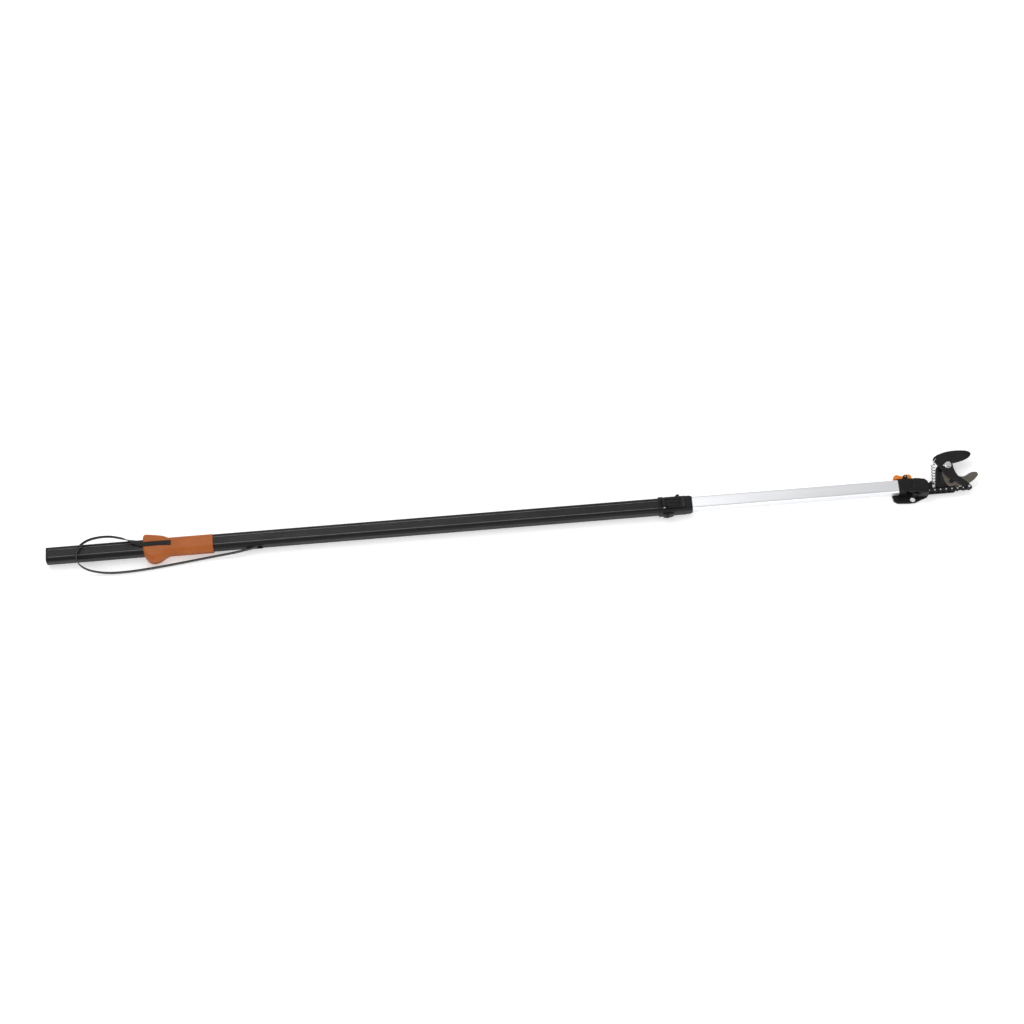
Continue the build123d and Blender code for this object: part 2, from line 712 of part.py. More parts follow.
with BuildPart() as casing_screws:
    for x, y in ((2181, 0), (2181, -20), (2150, -15.5)):
        with BuildSketch(Plane.XY.offset(FRONT_OUTSIDE)):
            with Locations((x, y)):
                Circle(2.4)
                Circle(1.1, mode=Mode.SUBTRACT)
        extrude(amount=1.2)
        with BuildSketch(Plane.XY.offset(FRONT_OUTSIDE)):
            with Locations((x, y)):
                Circle(2.4)
        extrude(amount=0.5)
save(casing_screws.part, "casing_screws")

# -------------------------------------------------------------- cutting head
with BuildPart() as head_frame:
    with BuildSketch(Plane.XY.offset(PLATE_BACK)):
        with BuildLine():
            Polyline(
                (NECK_START + 0.5, -21),
                (2250, -21),
                (2256, -16),
                (2258, 40),
                (PIVOT_X, PIVOT_Y + BOSS_RADIUS),
                (2221, 54),
                (2213.5, 45),
                (2207, 4),
                (2203.5, 11),
                (2197.5, 14),
                (2192.5, 10.5),
                (NECK_START + 0.5, 9.5),
                close=True,
            )
        make_face()
        with Locations((PIVOT_X, PIVOT_Y)):
            Circle(BOSS_RADIUS)
    extrude(amount=PLATE_FRONT - PLATE_BACK)
    with BuildSketch(Plane.XY.offset(PLATE_FRONT)):
        with BuildLine():
            Polyline(
                (2207.5, -6.5),
                (2255, -6.5),
                (2256.5, 40),
                (PIVOT_X, PIVOT_Y + BOSS_RADIUS),
                (2221, 53),
                (2214, 45),
                close=True,
            )
        make_face()
        with Locations((PIVOT_X, PIVOT_Y)):
            Circle(BOSS_RADIUS)
        # lightening triangle, which leaves ribs along the edges
        with BuildLine():
            Polyline((2213.5, -1), (2231, 3), (2230, 35), (2219.5, 41), close=True)
        make_face(mode=Mode.SUBTRACT)
    extrude(amount=COUNTER_BACK - PLATE_FRONT)
    with Locations((PIVOT_X, PIVOT_Y)):
        Hole(radius=PIVOT_SHANK)
    with Locations((COUNTER_BOLT_X, COUNTER_BOLT_Y)):
        Hole(radius=3.0)
    with Locations(ANCHOR):
        Hole(radius=2.0)
save(head_frame.part, "head_frame")

with BuildPart() as spring_anchor:
    with BuildSketch(Plane.XY.offset(PLATE_BACK)):
        with Locations(ANCHOR):
            Circle(2.0)
    extrude(amount=SPRING_Z + 3.2 - PLATE_BACK)
    with BuildSketch(Plane.XY.offset(SPRING_Z + 3.2)):
        with Locations(ANCHOR):
            Circle(3.2)
    extrude(amount=1.4)
save(spring_anchor.part, "spring_anchor")

with BuildPart() as counter_blade:
    with BuildSketch(Plane.XY.offset(COUNTER_BACK)):
        with BuildLine(Plane.XY.offset(COUNTER_BACK).shift_origin(Vector(PIVOT_X, PIVOT_Y, 0))):
            Polyline(
                (-12.5, 0),
                (-17, -15),
                (-14.6, -38),
                (-10.4, -48.7),
                (-5, -55.2),
                (29, -55.6),
                (49.7, -48.5),
                (60.4, -41.7),
                (68.4, -34),
            )
            Spline((68.4, -34), (71.6, -27.8), (70.4, -24.1), (64.2, -21.6), (56.7, -21.7))
            Polyline((56.7, -21.7), (49, -24.6), (41.8, -29.0))
            ThreePointArc((41.8, -29.0), (24.0, -30.0), (13, -12))
            Polyline((13, -12), (12, 0))
            ThreePointArc((12, 0), (0, 12), (-12.5, 0))
        make_face()
    extrude(amount=COUNTER_FRONT - COUNTER_BACK)
    with Locations((PIVOT_X, PIVOT_Y)):
        Hole(radius=PIVOT_SHANK)
    with Locations((COUNTER_BOLT_X, COUNTER_BOLT_Y, COUNTER_FRONT)):
        CounterSinkHole(radius=3.0, counter_sink_radius=6.0)
save(counter_blade.part, "counter_blade")

with BuildPart() as counter_bolt:
    with BuildSketch(Plane.XY.offset(PLATE_BACK - 4)):
        with Locations((COUNTER_BOLT_X, COUNTER_BOLT_Y)):
            Circle(3.0)
    extrude(amount=COUNTER_FRONT - PLATE_BACK + 4)
    with Locations((COUNTER_BOLT_X, COUNTER_BOLT_Y, COUNTER_FRONT)):
        Cone(3.0, 6.0, 3.0, align=(Align.CENTER, Align.CENTER, Align.MAX))
save(counter_bolt.part, "counter_bolt")

with BuildPart() as counter_nut:
    with BuildSketch(Plane.XY.offset(PLATE_BACK)):
        with Locations((COUNTER_BOLT_X, COUNTER_BOLT_Y)):
            RegularPolygon(5.0, 6, major_radius=False)
            Circle(3.0, mode=Mode.SUBTRACT)
    extrude(amount=-3.4)
save(counter_nut.part, "counter_nut")

with BuildPart() as pivot_bolt:
    with BuildSketch(Plane.XY.offset(PLATE_BACK - 7)):
        with Locations((PIVOT_X, PIVOT_Y)):
            Circle(PIVOT_SHANK)
    extrude(amount=BLADE_FRONT + 0.7 - PLATE_BACK + 7)
    with BuildSketch(Plane.XY.offset(BLADE_FRONT + 1.7)):
        with Locations((PIVOT_X, PIVOT_Y)):
            RegularPolygon(6.5, 6, major_radius=False)
    extrude(amount=4.6)
    with BuildSketch(Plane.XY.offset(BLADE_FRONT + 0.7)):
        with Locations((PIVOT_X, PIVOT_Y)):
            Circle(7.4)
    extrude(amount=1.0)
save(pivot_bolt.part, "pivot_bolt")

with BuildPart() as pivot_washer:
    with BuildSketch(Plane.XY.offset(BLADE_FRONT + 0.2)):
        with Locations((PIVOT_X, PIVOT_Y)):
            Circle(8.6)
            Circle(PIVOT_SHANK, mode=Mode.SUBTRACT)
        with BuildLine():
            Polyline(
                (PIVOT_X - 7.5, PIVOT_Y + 3.5),
                (PIVOT_X - 12.5, PIVOT_Y + 1),
                (PIVOT_X - 12.5, PIVOT_Y - 1),
                (PIVOT_X - 7.5, PIVOT_Y - 3.5),
                close=True,
            )
        make_face()
    extrude(amount=0.5)
save(pivot_washer.part, "pivot_washer")

with BuildPart() as pivot_nut:
    with BuildSketch(Plane.XY.offset(PLATE_BACK)):
        with Locations((PIVOT_X, PIVOT_Y)):
            RegularPolygon(6.5, 6, major_radius=False)
            Circle(PIVOT_SHANK, mode=Mode.SUBTRACT)
    extrude(amount=-6.4)
    chamfer(pivot_nut.faces().sort_by(Axis.Z)[0].outer_wire().edges(), 0.8)
save(pivot_nut.part, "pivot_nut")

# ------------------------------------------------------------- return spring
spring_start = Vector(*SPRING_BOTTOM, SPRING_Z)
spring_axis = Vector(*SPRING_TOP, SPRING_Z) - spring_start
with BuildPart() as return_spring:
    with BuildLine() as coil:
        Helix(
            pitch=SPRING_PITCH,
            height=spring_axis.length,
            radius=SPRING_RADIUS,
            center=spring_start,
            direction=spring_axis,
        )
    with BuildSketch(Plane(coil.line @ 0, z_dir=coil.line % 0)):
        Circle(SPRING_WIRE)
    sweep(path=coil.line, is_frenet=True)
save(return_spring.part, "return_spring")

# ------------------------------------------------------------- moving blade
BLADE_PLANE = Plane.XY.offset(BLADE_BACK).shift_origin(Vector(PIVOT_X, PIVOT_Y, BLADE_BACK))
with BuildPart() as cutting_blade:
    with BuildSketch(BLADE_PLANE):
        with BuildLine():
            Spline(
                (-35.5, 17.5),
                (-33.5, 21.8),
                (-27.5, 27),
                (-16, 32),
                (0, 36.2),
                (23.5, 38),
                (45, 36.4),
                (56, 33),
                (60.6, 28.8),
            )
            Spline((60.6, 28.8), (61, 25.6), (58.6, 21), (50, 15), (37, 9.8), (21, 6.4), (12, 4.6))
            Spline((12, 4.6), (12.3, -3), (13.5, -11.5), (16, -20.5), (21, -31))
            Polyline((21, -31), (35, -43.4), (44.6, -53.4), (50.2, -61.6))
            ThreePointArc((50.2, -61.6), (49.4, -67.2), (44, -68.6))
            Polyline((44, -68.6), (37.6, -62.6), (26.2, -54.6), (16.5, -46.8))
            Spline((16.5, -46.8), (4.5, -37.8), (-8, -27), (-16, -14.7), (-23.4, -1), (-32, 12.5), (-35.5, 17.5))
        make_face()
    extrude(amount=BLADE_FRONT - BLADE_BACK)
    with Locations((PIVOT_X, PIVOT_Y)):
        Hole(radius=6.0)
    with Locations((PIVOT_X + HEEL_HOLE[0] + 4.5, PIVOT_Y + HEEL_HOLE[1] + 3)):
        Hole(radius=2.0)
    with Locations((PIVOT_X + TAIL_PIN_X, PIVOT_Y + TAIL_PIN_Y)):
        Hole(radius=TAIL_PIN_RADIUS)
save(cutting_blade.part, "cutting_blade")

with BuildPart() as blade_bush:
    with BuildSketch(Plane.XY.offset(BLADE_BACK)):
        with Locations((PIVOT_X, PIVOT_Y)):
            Circle(6.0)
            Circle(PIVOT_SHANK + 0.1, mode=Mode.SUBTRACT)
    extrude(amount=BLADE_FRONT - BLADE_BACK)
save(blade_bush.part, "blade_bush")

with BuildPart() as tail_pin:
    with BuildSketch(Plane.XY.offset(CHAIN_BACK - 0.4)):
        with Locations((PIVOT_X + TAIL_PIN_X, PIVOT_Y + TAIL_PIN_Y)):
            Circle(TAIL_PIN_RADIUS)
    extrude(amount=BLADE_FRONT - CHAIN_BACK + 0.4)
    with BuildSketch(Plane.XY.offset(BLADE_FRONT)):
        with Locations((PIVOT_X + TAIL_PIN_X, PIVOT_Y + TAIL_PIN_Y)):
            Circle(3.0)
    extrude(amount=1.3)
    fillet(tail_pin.faces().sort_by(Axis.Z)[-1].edges(), 0.6)
save(tail_pin.part, "tail_pin")

# --------------------------------------------------------------------- chain
CHAIN_START = PIVOT_X + TAIL_PIN_X
pivots = [CHAIN_START - CHAIN_PITCH * index for index in range(CHAIN_LINKS + 1)]
PLATE_GAP = 0.15
outer_levels = (CHAIN_BACK, CHAIN_FRONT - LINK_THICKNESS)
inner_levels = (
    CHAIN_BACK + LINK_THICKNESS + PLATE_GAP,
    CHAIN_FRONT - 2 * LINK_THICKNESS - PLATE_GAP,
)


def link_sketch(first, second, hole):
    with BuildSketch() as link:
        with Locations((first, CHAIN_Y), (second, CHAIN_Y)):
            Circle(LINK_RADIUS)
        with Locations(((first + second) / 2, CHAIN_Y)):
            Rectangle(first - second, 2 * LINK_RADIUS - 2.4)
        with Locations((first, CHAIN_Y), (second, CHAIN_Y)):
            Circle(hole, mode=Mode.SUBTRACT)
    return link.sketch


with BuildPart() as chain_outer_plates:
    for level in outer_levels:
        with BuildSketch(Plane.XY.offset(level)):
            for index in range(0, CHAIN_LINKS, 2):
                add(link_sketch(pivots[index], pivots[index + 1], TAIL_PIN_RADIUS + 0.15))
        extrude(amount=LINK_THICKNESS)
save(chain_outer_plates.part, "chain_outer_plates")

with BuildPart() as chain_inner_plates:
    for level in inner_levels:
        with BuildSketch(Plane.XY.offset(level)):
            for index in range(1, CHAIN_LINKS - 1, 2):
                add(link_sketch(pivots[index], pivots[index + 1], TAIL_PIN_RADIUS + 0.15))
        extrude(amount=LINK_THICKNESS)
save(chain_inner_plates.part, "chain_inner_plates")

roller_low = inner_levels[0] + LINK_THICKNESS + PLATE_GAP
roller_high = inner_levels[1] - PLATE_GAP
with BuildPart() as chain_rollers:
    with BuildSketch(Plane.XY.offset(roller_low)):
        with Locations(*[(x, CHAIN_Y) for x in pivots[1:]]):
            Circle(3.4)
            Circle(TAIL_PIN_RADIUS + 0.15, mode=Mode.SUBTRACT)
    extrude(amount=roller_high - roller_low)
save(chain_rollers.part, "chain_rollers")

with BuildPart() as chain_rivets:
    with BuildSketch(Plane.XY.offset(CHAIN_BACK - 0.3)):
        with Locations(*[(x, CHAIN_Y) for x in pivots[1:]]):
            Circle(TAIL_PIN_RADIUS)
    extrude(amount=CHAIN_FRONT - CHAIN_BACK + 0.5)
save(chain_rivets.part, "chain_rivets")

with BuildPart() as strap_yoke:
    with BuildSketch(Plane.XY.offset(inner_levels[0])):
        with Locations((pivots[-1], CHAIN_Y)):
            Circle(4.6)
        with Locations((pivots[-1] - 4, CHAIN_Y)):
            Rectangle(8, 6)
        with Locations((pivots[-1], CHAIN_Y)):
            Circle(TAIL_PIN_RADIUS + 0.15, mode=Mode.SUBTRACT)
    extrude(amount=LINK_THICKNESS)
    with BuildSketch(Plane.XY.offset(inner_levels[0])):
        with Locations((pivots[-1] - 6.2, CHAIN_Y)):
            Rectangle(3.6, 6)
    extrude(amount=inner_levels[1] + LINK_THICKNESS - inner_levels[0])
save(strap_yoke.part, "strap_yoke")
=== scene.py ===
"""Finish, webbing, spring and ground edges of a telescoping pole pruner.

Every piece is built round the fixed frame, and takes its place from it.
"""

import json
import math

import bmesh
import bpy
from bpy.props import FloatProperty, FloatVectorProperty, IntProperty, PointerProperty
from mathutils import Matrix, Vector

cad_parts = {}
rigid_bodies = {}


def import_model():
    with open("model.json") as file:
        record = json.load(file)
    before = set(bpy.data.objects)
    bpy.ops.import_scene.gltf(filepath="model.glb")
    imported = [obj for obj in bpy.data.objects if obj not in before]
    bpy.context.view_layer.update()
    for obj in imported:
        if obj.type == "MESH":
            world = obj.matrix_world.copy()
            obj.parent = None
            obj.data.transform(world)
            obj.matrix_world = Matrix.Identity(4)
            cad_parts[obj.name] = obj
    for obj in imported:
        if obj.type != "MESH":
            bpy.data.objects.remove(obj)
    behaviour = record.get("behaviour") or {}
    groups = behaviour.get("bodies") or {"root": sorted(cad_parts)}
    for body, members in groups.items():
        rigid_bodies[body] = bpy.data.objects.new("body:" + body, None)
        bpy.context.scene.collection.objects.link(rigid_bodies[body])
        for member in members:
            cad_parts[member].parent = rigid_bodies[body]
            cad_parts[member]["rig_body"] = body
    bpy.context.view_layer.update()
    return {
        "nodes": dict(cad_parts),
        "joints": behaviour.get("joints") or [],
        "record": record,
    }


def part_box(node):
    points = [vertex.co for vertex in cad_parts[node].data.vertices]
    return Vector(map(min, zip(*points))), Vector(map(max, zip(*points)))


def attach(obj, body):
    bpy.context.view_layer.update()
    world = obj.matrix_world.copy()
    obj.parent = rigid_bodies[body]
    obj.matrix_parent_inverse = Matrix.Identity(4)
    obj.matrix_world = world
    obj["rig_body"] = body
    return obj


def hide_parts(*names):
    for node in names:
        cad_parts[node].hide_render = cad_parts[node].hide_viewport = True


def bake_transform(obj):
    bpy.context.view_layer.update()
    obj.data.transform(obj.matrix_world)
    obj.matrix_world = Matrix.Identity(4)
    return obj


bl_info = {
    "name": "Pole pruner workshop",
    "version": (1, 0, 0),
    "blender": (4, 5, 0),
    "location": "3D View > Sidebar > Pruner",
    "description": "Builds the finished pieces of a telescoping pole pruner",
    "category": "Object",
}

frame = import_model()
NODES = frame["nodes"]
SLOT_OF = {part["node"]: part["material_slot"] for part in frame["record"]["subparts"]}
JOINTS = {joint["name"]: joint for joint in frame["joints"]}
MM = 0.001

TUBE_LOW, TUBE_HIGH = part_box("outer_tube")
GRIP_LOW, GRIP_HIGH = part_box("grip_sleeve")
STRAP_LOW, STRAP_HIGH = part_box("strap_end")
FLOOR_Z = GRIP_LOW.z
PIVOT = Vector(JOINTS["blade_swing"]["pos_m"])
BLADE_LOW, BLADE_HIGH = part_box("cutting_blade")
ANCHOR_LOW, ANCHOR_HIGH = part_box("spring_anchor")
SPRING_LOW, SPRING_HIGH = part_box("return_spring")


# ------------------------------------------------------------------ settings
class StageSettings(bpy.types.PropertyGroup):
    """Camera, floor and light."""

    elevation: FloatProperty(
        name="Elevation", description="How far the camera looks down", default=math.radians(66),
        subtype="ANGLE",
    )
    azimuth: FloatProperty(
        name="Azimuth", description="Turn of the camera about the vertical",
        default=math.radians(2.2), subtype="ANGLE",
    )
    roll: FloatProperty(
        name="Roll", description="Tilt of the camera about its own axis",
        default=math.radians(-2.6), subtype="ANGLE",
    )
    distance: FloatProperty(
        name="Distance", description="From the camera to the aim point", default=6.005,
        unit="LENGTH",
    )
    aim: FloatVectorProperty(
        name="Aim", description="Point at the middle of the view", default=(1.1532, 0.0188, 0.0),
        subtype="XYZ", unit="LENGTH",
    )
    lens: FloatProperty(name="Lens", description="Focal length in millimetres", default=85.2)
    sky: FloatProperty(name="Sky", description="Strength of the even white light", default=0.62)
    key: FloatProperty(name="Key light", description="Power of the soft main light", default=60.0)


class StrapSettings(bpy.types.PropertyGroup):
    """Flat webbing of the pull loop."""

    width: FloatProperty(
        name="Width", description="Width of the webbing", default=12 * MM, unit="LENGTH",
    )
    thickness: FloatProperty(
        name="Thickness", description="Thickness of the webbing", default=2 * MM, unit="LENGTH",
    )
    length: FloatProperty(
        name="Length", description="From the grip's clamp to the slot in the pole",
        default=0.735, unit="LENGTH",
    )
    ribs: IntProperty(name="Ribs", description="Yarns across the webbing", default=9, min=3)


class SpringSettings(bpy.types.PropertyGroup):
    """Extension spring that opens the jaw."""

    turns: IntProperty(name="Turns", description="Number of coils", default=7, min=3)
    wire: FloatProperty(
        name="Wire", description="Radius of the wire", default=1.25 * MM, unit="LENGTH",
    )
    radius: FloatProperty(
        name="Coil radius", description="Radius of the coil's centre line", default=3.8 * MM,
        unit="LENGTH",
    )


class BladeSettings(bpy.types.PropertyGroup):
    """Ground edges of the two blades."""

    grind: FloatProperty(
        name="Grind", description="Width of the ground bevel on the moving blade",
        default=2.4 * MM, unit="LENGTH",
    )
    edge: FloatProperty(
        name="Edge", description="Width of the bevel on the fixed blade", default=1.2 * MM,
        unit="LENGTH",
    )


class ColourSettings(bpy.types.PropertyGroup):
    """Main colours."""

    grip: FloatVectorProperty(
        name="Grip", description="Orange of the pull grip", default=(0.38, 0.1, 0.018),
        subtype="COLOR", min=0, max=1,
    )
    button: FloatVectorProperty(
        name="Button", description="Orange of the tilt button", default=(0.8, 0.24, 0.035),
        subtype="COLOR", min=0, max=1,
    )
    black: FloatVectorProperty(
        name="Black", description="Black of the pole and the mouldings",
        default=(0.0065, 0.0065, 0.007), subtype="COLOR", min=0, max=1,
    )
    silver: FloatVectorProperty(
        name="Silver", description="Anodised inner tube", default=(0.83, 0.84, 0.86),
        subtype="COLOR", min=0, max=1,
    )
    counter: FloatVectorProperty(
        name="Fixed blade", description="Grey-brown of the fixed blade",
        default=(0.15, 0.135, 0.11), subtype="COLOR", min=0, max=1,
    )


# ----------------------------------------------------------------- materials
KNURL_HALF_WIDTH = 8.7 * MM
KNURL_FACE_HEIGHT = 15.1 * MM
PICKS_PER_METRE = 700


class Finish:
    """One procedural material, put together step by step on object coordinates."""

    def __init__(self, name, colour, roughness, metallic=0.0, specular=0.2):
        self.material = bpy.data.materials.new(name)
        self.material.use_nodes = True
        self.nodes = self.material.node_tree.nodes
        self.links = self.material.node_tree.links
        self.shader = self.nodes["Principled BSDF"]
        self.set("Base Color", (*colour, 1.0))
        self.set("Roughness", roughness)
        self.set("Metallic", metallic)
        self.set("Specular IOR Level", specular)
        self.material.diffuse_color = (*colour, 1.0)
        self.place = self.nodes.new("ShaderNodeTexCoord").outputs["Object"]
        self.normal = None

    def set(self, socket, value):
        self.shader.inputs[socket].default_value = value

    def scaled(self, stretch):
        mapping = self.nodes.new("ShaderNodeMapping")
        mapping.inputs["Scale"].default_value = stretch
        self.links.new(self.place, mapping.inputs["Vector"])
        return mapping.outputs["Vector"]

    def noise(self, scale, stretch=(1, 1, 1), detail=3.0):
        texture = self.nodes.new("ShaderNodeTexNoise")
        texture.inputs["Scale"].default_value = scale
        texture.inputs["Detail"].default_value = detail
        self.links.new(self.scaled(stretch), texture.inputs["Vector"])
        return texture.outputs["Fac"]

    def cells(self, scale, stretch=(1, 1, 1)):
        texture = self.nodes.new("ShaderNodeTexVoronoi")
        texture.inputs["Scale"].default_value = scale
        self.links.new(self.scaled(stretch), texture.inputs["Vector"])
        return texture.outputs["Distance"]

    def ramp(self, source, low, high, start=0.3, end=0.7):
        spread = self.nodes.new("ShaderNodeMapRange")
        spread.inputs["From Min"].default_value = start
        spread.inputs["From Max"].default_value = end
        spread.inputs["To Min"].default_value = low
        spread.inputs["To Max"].default_value = high
        self.links.new(source, spread.inputs["Value"])
        return spread.outputs["Result"]

    def math(self, operation, first, second):
        node = self.nodes.new("ShaderNodeMath")
        node.operation = operation
        for socket, value in zip(node.inputs, (first, second)):
            if isinstance(value, (int, float)):
                socket.default_value = value
            else:
                self.links.new(value, socket)
        return node.outputs["Value"]

    def rough(self, source, low, high):
        self.links.new(self.ramp(source, low, high), self.shader.inputs["Roughness"])

    def tint(self, source, first, second, start=0.3, end=0.7):
        mix = self.nodes.new("ShaderNodeMix")
        mix.data_type = "RGBA"
        mix.inputs["A"].default_value = (*first, 1.0)
        mix.inputs["B"].default_value = (*second, 1.0)
        self.links.new(self.ramp(source, 0.0, 1.0, start, end), mix.inputs["Factor"])
        self.links.new(mix.outputs["Result"], self.shader.inputs["Base Color"])
        return self

    def bump(self, height, strength, distance):
        node = self.nodes.new("ShaderNodeBump")
        node.inputs["Strength"].default_value = strength
        node.inputs["Distance"].default_value = distance
        self.links.new(height, node.inputs["Height"])
        if self.normal is not None:
            self.links.new(self.normal, node.inputs["Normal"])
        self.normal = node.outputs["Normal"]
        self.links.new(self.normal, self.shader.inputs["Normal"])


def shade(colour, factor):
    return tuple(min(1.0, channel * factor) for channel in colour)


def powder_coated_tube(colour):
    """Black powder coat with a knurled band along the middle of the broad faces."""
    finish = Finish("powder_coated_tube", colour, 0.4)
    finish.rough(finish.noise(60, (0.25, 1, 1)), 0.33, 0.47)
    finish.bump(finish.noise(1500), 0.12, 0.00006)
    split = finish.nodes.new("ShaderNodeSeparateXYZ")
    finish.links.new(finish.place, split.inputs["Vector"])
    across = finish.math("ABSOLUTE", split.outputs["Y"], 0.0)
    band = finish.math("LESS_THAN", across, KNURL_HALF_WIDTH)
    height = finish.math("ABSOLUTE", split.outputs["Z"], 0.0)
    face = finish.math("GREATER_THAN", height, KNURL_FACE_HEIGHT)
    mask = finish.math("MULTIPLY", band, face)
    knurl = finish.ramp(finish.cells(620, (0.55, 1, 1)), 1.0, 0.0, 0.1, 0.6)
    finish.bump(finish.math("MULTIPLY", knurl, mask), 0.6, 0.0003)
    speck = finish.math("MULTIPLY", finish.noise(900, (0.4, 1, 1)), mask)
    finish.tint(speck, shade(colour, 0.9), shade(colour, 2.3), 0.2, 0.75)
    return finish.material


def moulded_nylon(colour):
    """Black moulding with a fine spark-eroded grain."""
    finish = Finish("moulded_nylon", colour, 0.46)
    finish.rough(finish.noise(140), 0.4, 0.54)
    finish.bump(finish.noise(2200, detail=4), 0.22, 0.00008)
    finish.bump(finish.noise(45), 0.05, 0.0006)
    return finish.tint(finish.noise(30), shade(colour, 0.9), shade(colour, 1.5)).material


def orange_moulding(name, colour, gloss):
    """Orange moulding, slightly mottled, with soft sink marks."""
    finish = Finish(name, colour, gloss)
    finish.set("Subsurface Weight", 0.04)
    finish.set("Subsurface Radius", (0.004, 0.002, 0.001))
    finish.rough(finish.noise(90), gloss - 0.05, gloss + 0.07)
    finish.bump(finish.noise(1900, detail=4), 0.14, 0.00007)
    finish.bump(finish.noise(38), 0.05, 0.0008)
    return finish.tint(finish.noise(24), shade(colour, 0.93), shade(colour, 1.08)).material


def anodised_tube(colour):
    """Satin anodised aluminium with draw lines along the tube."""
    finish = Finish("anodised_tube", colour, 0.36, metallic=0.9)
    finish.rough(finish.noise(700, (0.01, 1, 1)), 0.3, 0.42)
    finish.bump(finish.noise(1600, (0.008, 1, 1)), 0.1, 0.00005)
    cloud = finish.noise(25, (0.1, 1, 1))
    return finish.tint(cloud, shade(colour, 0.95), shade(colour, 1.04)).material


def zinc_steel(name, colour=(0.72, 0.73, 0.75), roughness=0.27):
    """Bright zinc plate with faint clouding and handling marks."""
    finish = Finish(name, colour, roughness, metallic=1.0)
    finish.rough(finish.noise(260), roughness - 0.07, roughness + 0.12)
    finish.bump(finish.noise(900), 0.08, 0.00006)
    return finish.tint(finish.noise(120), shade(colour, 0.86), shade(colour, 1.08)).material


def coated_steel(name, colour, roughness, cloud=1.7):
    """Black low-friction coating, with fine specks and faint rub marks."""
    finish = Finish(name, colour, roughness)
    finish.rough(finish.noise(150), roughness - 0.07, roughness + 0.09)
    finish.bump(finish.noise(1300, detail=4), 0.16, 0.00007)
    return finish.tint(finish.noise(55, detail=6), colour, shade(colour, cloud)).material


def phosphated_steel(colour):
    """Warm grey phosphated plate with grinding lines across it."""
    finish = Finish("phosphated_steel", colour, 0.42, metallic=0.55)
    finish.rough(finish.noise(500, (0.08, 1, 1)), 0.34, 0.52)
    finish.bump(finish.noise(1500, (0.05, 1, 1)), 0.16, 0.00007)
    cloud = finish.noise(60, detail=5)
    return finish.tint(cloud, shade(colour, 0.78), shade(colour, 1.22)).material


def ground_edge():
    """Bare steel of a ground bevel, with fine lines from the wheel."""
    finish = Finish("ground_edge", (0.3, 0.3, 0.29), 0.34, metallic=0.9)
    finish.rough(finish.noise(900, (0.06, 1, 1)), 0.26, 0.44)
    finish.bump(finish.noise(2400, (0.05, 1, 1)), 0.2, 0.00005)
    return finish.tint(finish.noise(80), (0.24, 0.24, 0.23), (0.4, 0.4, 0.39)).material


def woven_webbing(colour, ribs):
    """Plain woven tape: yarns run along it, and picks cross it."""
    finish = Finish("woven_webbing", colour, 0.78, specular=0.3)
    finish.set("Sheen Weight", 0.25)
    finish.set("Sheen Roughness", 0.5)
    layout = finish.nodes.new("ShaderNodeUVMap")
    layout.uv_map = "along"
    split = finish.nodes.new("ShaderNodeSeparateXYZ")
    finish.links.new(layout.outputs["UV"], split.inputs["Vector"])
    along = finish.math("MULTIPLY", split.outputs["X"], 2 * math.pi * PICKS_PER_METRE)
    picks = finish.math("SINE", along, 0.0)
    over = finish.math("MULTIPLY", split.outputs["Y"], 2 * math.pi * ribs)
    yarns = finish.math("SINE", over, 0.0)
    weave = finish.ramp(finish.math("MULTIPLY", picks, yarns), 0.0, 1.0, -1.0, 1.0)
    finish.bump(weave, 0.7, 0.0003)
    finish.bump(finish.noise(2600), 0.2, 0.0001)
    # The colour follows the weave's height: painted highlight on the yarn crests and painted
    # shade in the hollows between them.
    return finish.tint(weave, shade(colour, 0.7), shade(colour, 2.2), 0.1, 0.9).material


def grey_rubber():
    """Dull moulded rubber."""
    finish = Finish("moulded_rubber", (0.09, 0.09, 0.09), 0.8)
    finish.bump(finish.noise(1200), 0.2, 0.0001)
    return finish.tint(finish.noise(70), (0.07, 0.07, 0.07), (0.12, 0.12, 0.12)).material


def make_finishes():
    """The material of each slot in the record."""
    colours = bpy.context.scene.pruner_colours
    black = tuple(colours.black)
    return {
        "black_tube": powder_coated_tube(black),
        "black_nylon": moulded_nylon(shade(black, 1.1)),
        "webbing": woven_webbing(shade(black, 0.9), bpy.context.scene.pruner_strap.ribs),
        "orange_nylon": orange_moulding("grip_nylon", tuple(colours.grip), 0.44),
        "orange_button": orange_moulding("button_nylon", tuple(colours.button), 0.34),
        "silver_tube": anodised_tube(tuple(colours.silver)),
        "bright_steel": zinc_steel("zinc_steel"),
        "dark_steel": coated_steel("coated_frame", shade(black, 1.2), 0.46),
        "counter_steel": phosphated_steel(tuple(colours.counter)),
        "coated_blade": coated_steel("coated_blade", shade(black, 1.35), 0.4, 1.6),
        "spring_steel": zinc_steel("spring_wire", (0.42, 0.42, 0.43), 0.22),
        "chain_steel": coated_steel("chain_steel", shade(black, 1.1), 0.38, 2.4),
        "grey_rubber": grey_rubber(),
        "bronze_bush": zinc_steel("sintered_bronze", (0.5, 0.33, 0.16), 0.4),
    }


finishes = {}


# -------------------------------------------------------------- mesh helpers
def settle(name, mesh_source, slot_name, body=None, extra=()):
    """Turns a bmesh into a piece with its finish, riding on a body."""
    mesh = bpy.data.meshes.new(name)
    mesh_source.to_mesh(mesh)
    mesh_source.free()
    piece = bpy.data.objects.new(name, mesh)
    bpy.context.scene.collection.objects.link(piece)
    mesh.materials.append(finishes[slot_name])
    for material in extra:
        mesh.materials.append(material)
    if body:
        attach(piece, body)
    return piece


def smooth(piece, angle=35):
    """Smooth shading with creases kept where faces meet sharply."""
    piece.data.polygons.foreach_set("use_smooth", [True] * len(piece.data.polygons))
    piece.data.set_sharp_from_angle(angle=math.radians(angle))


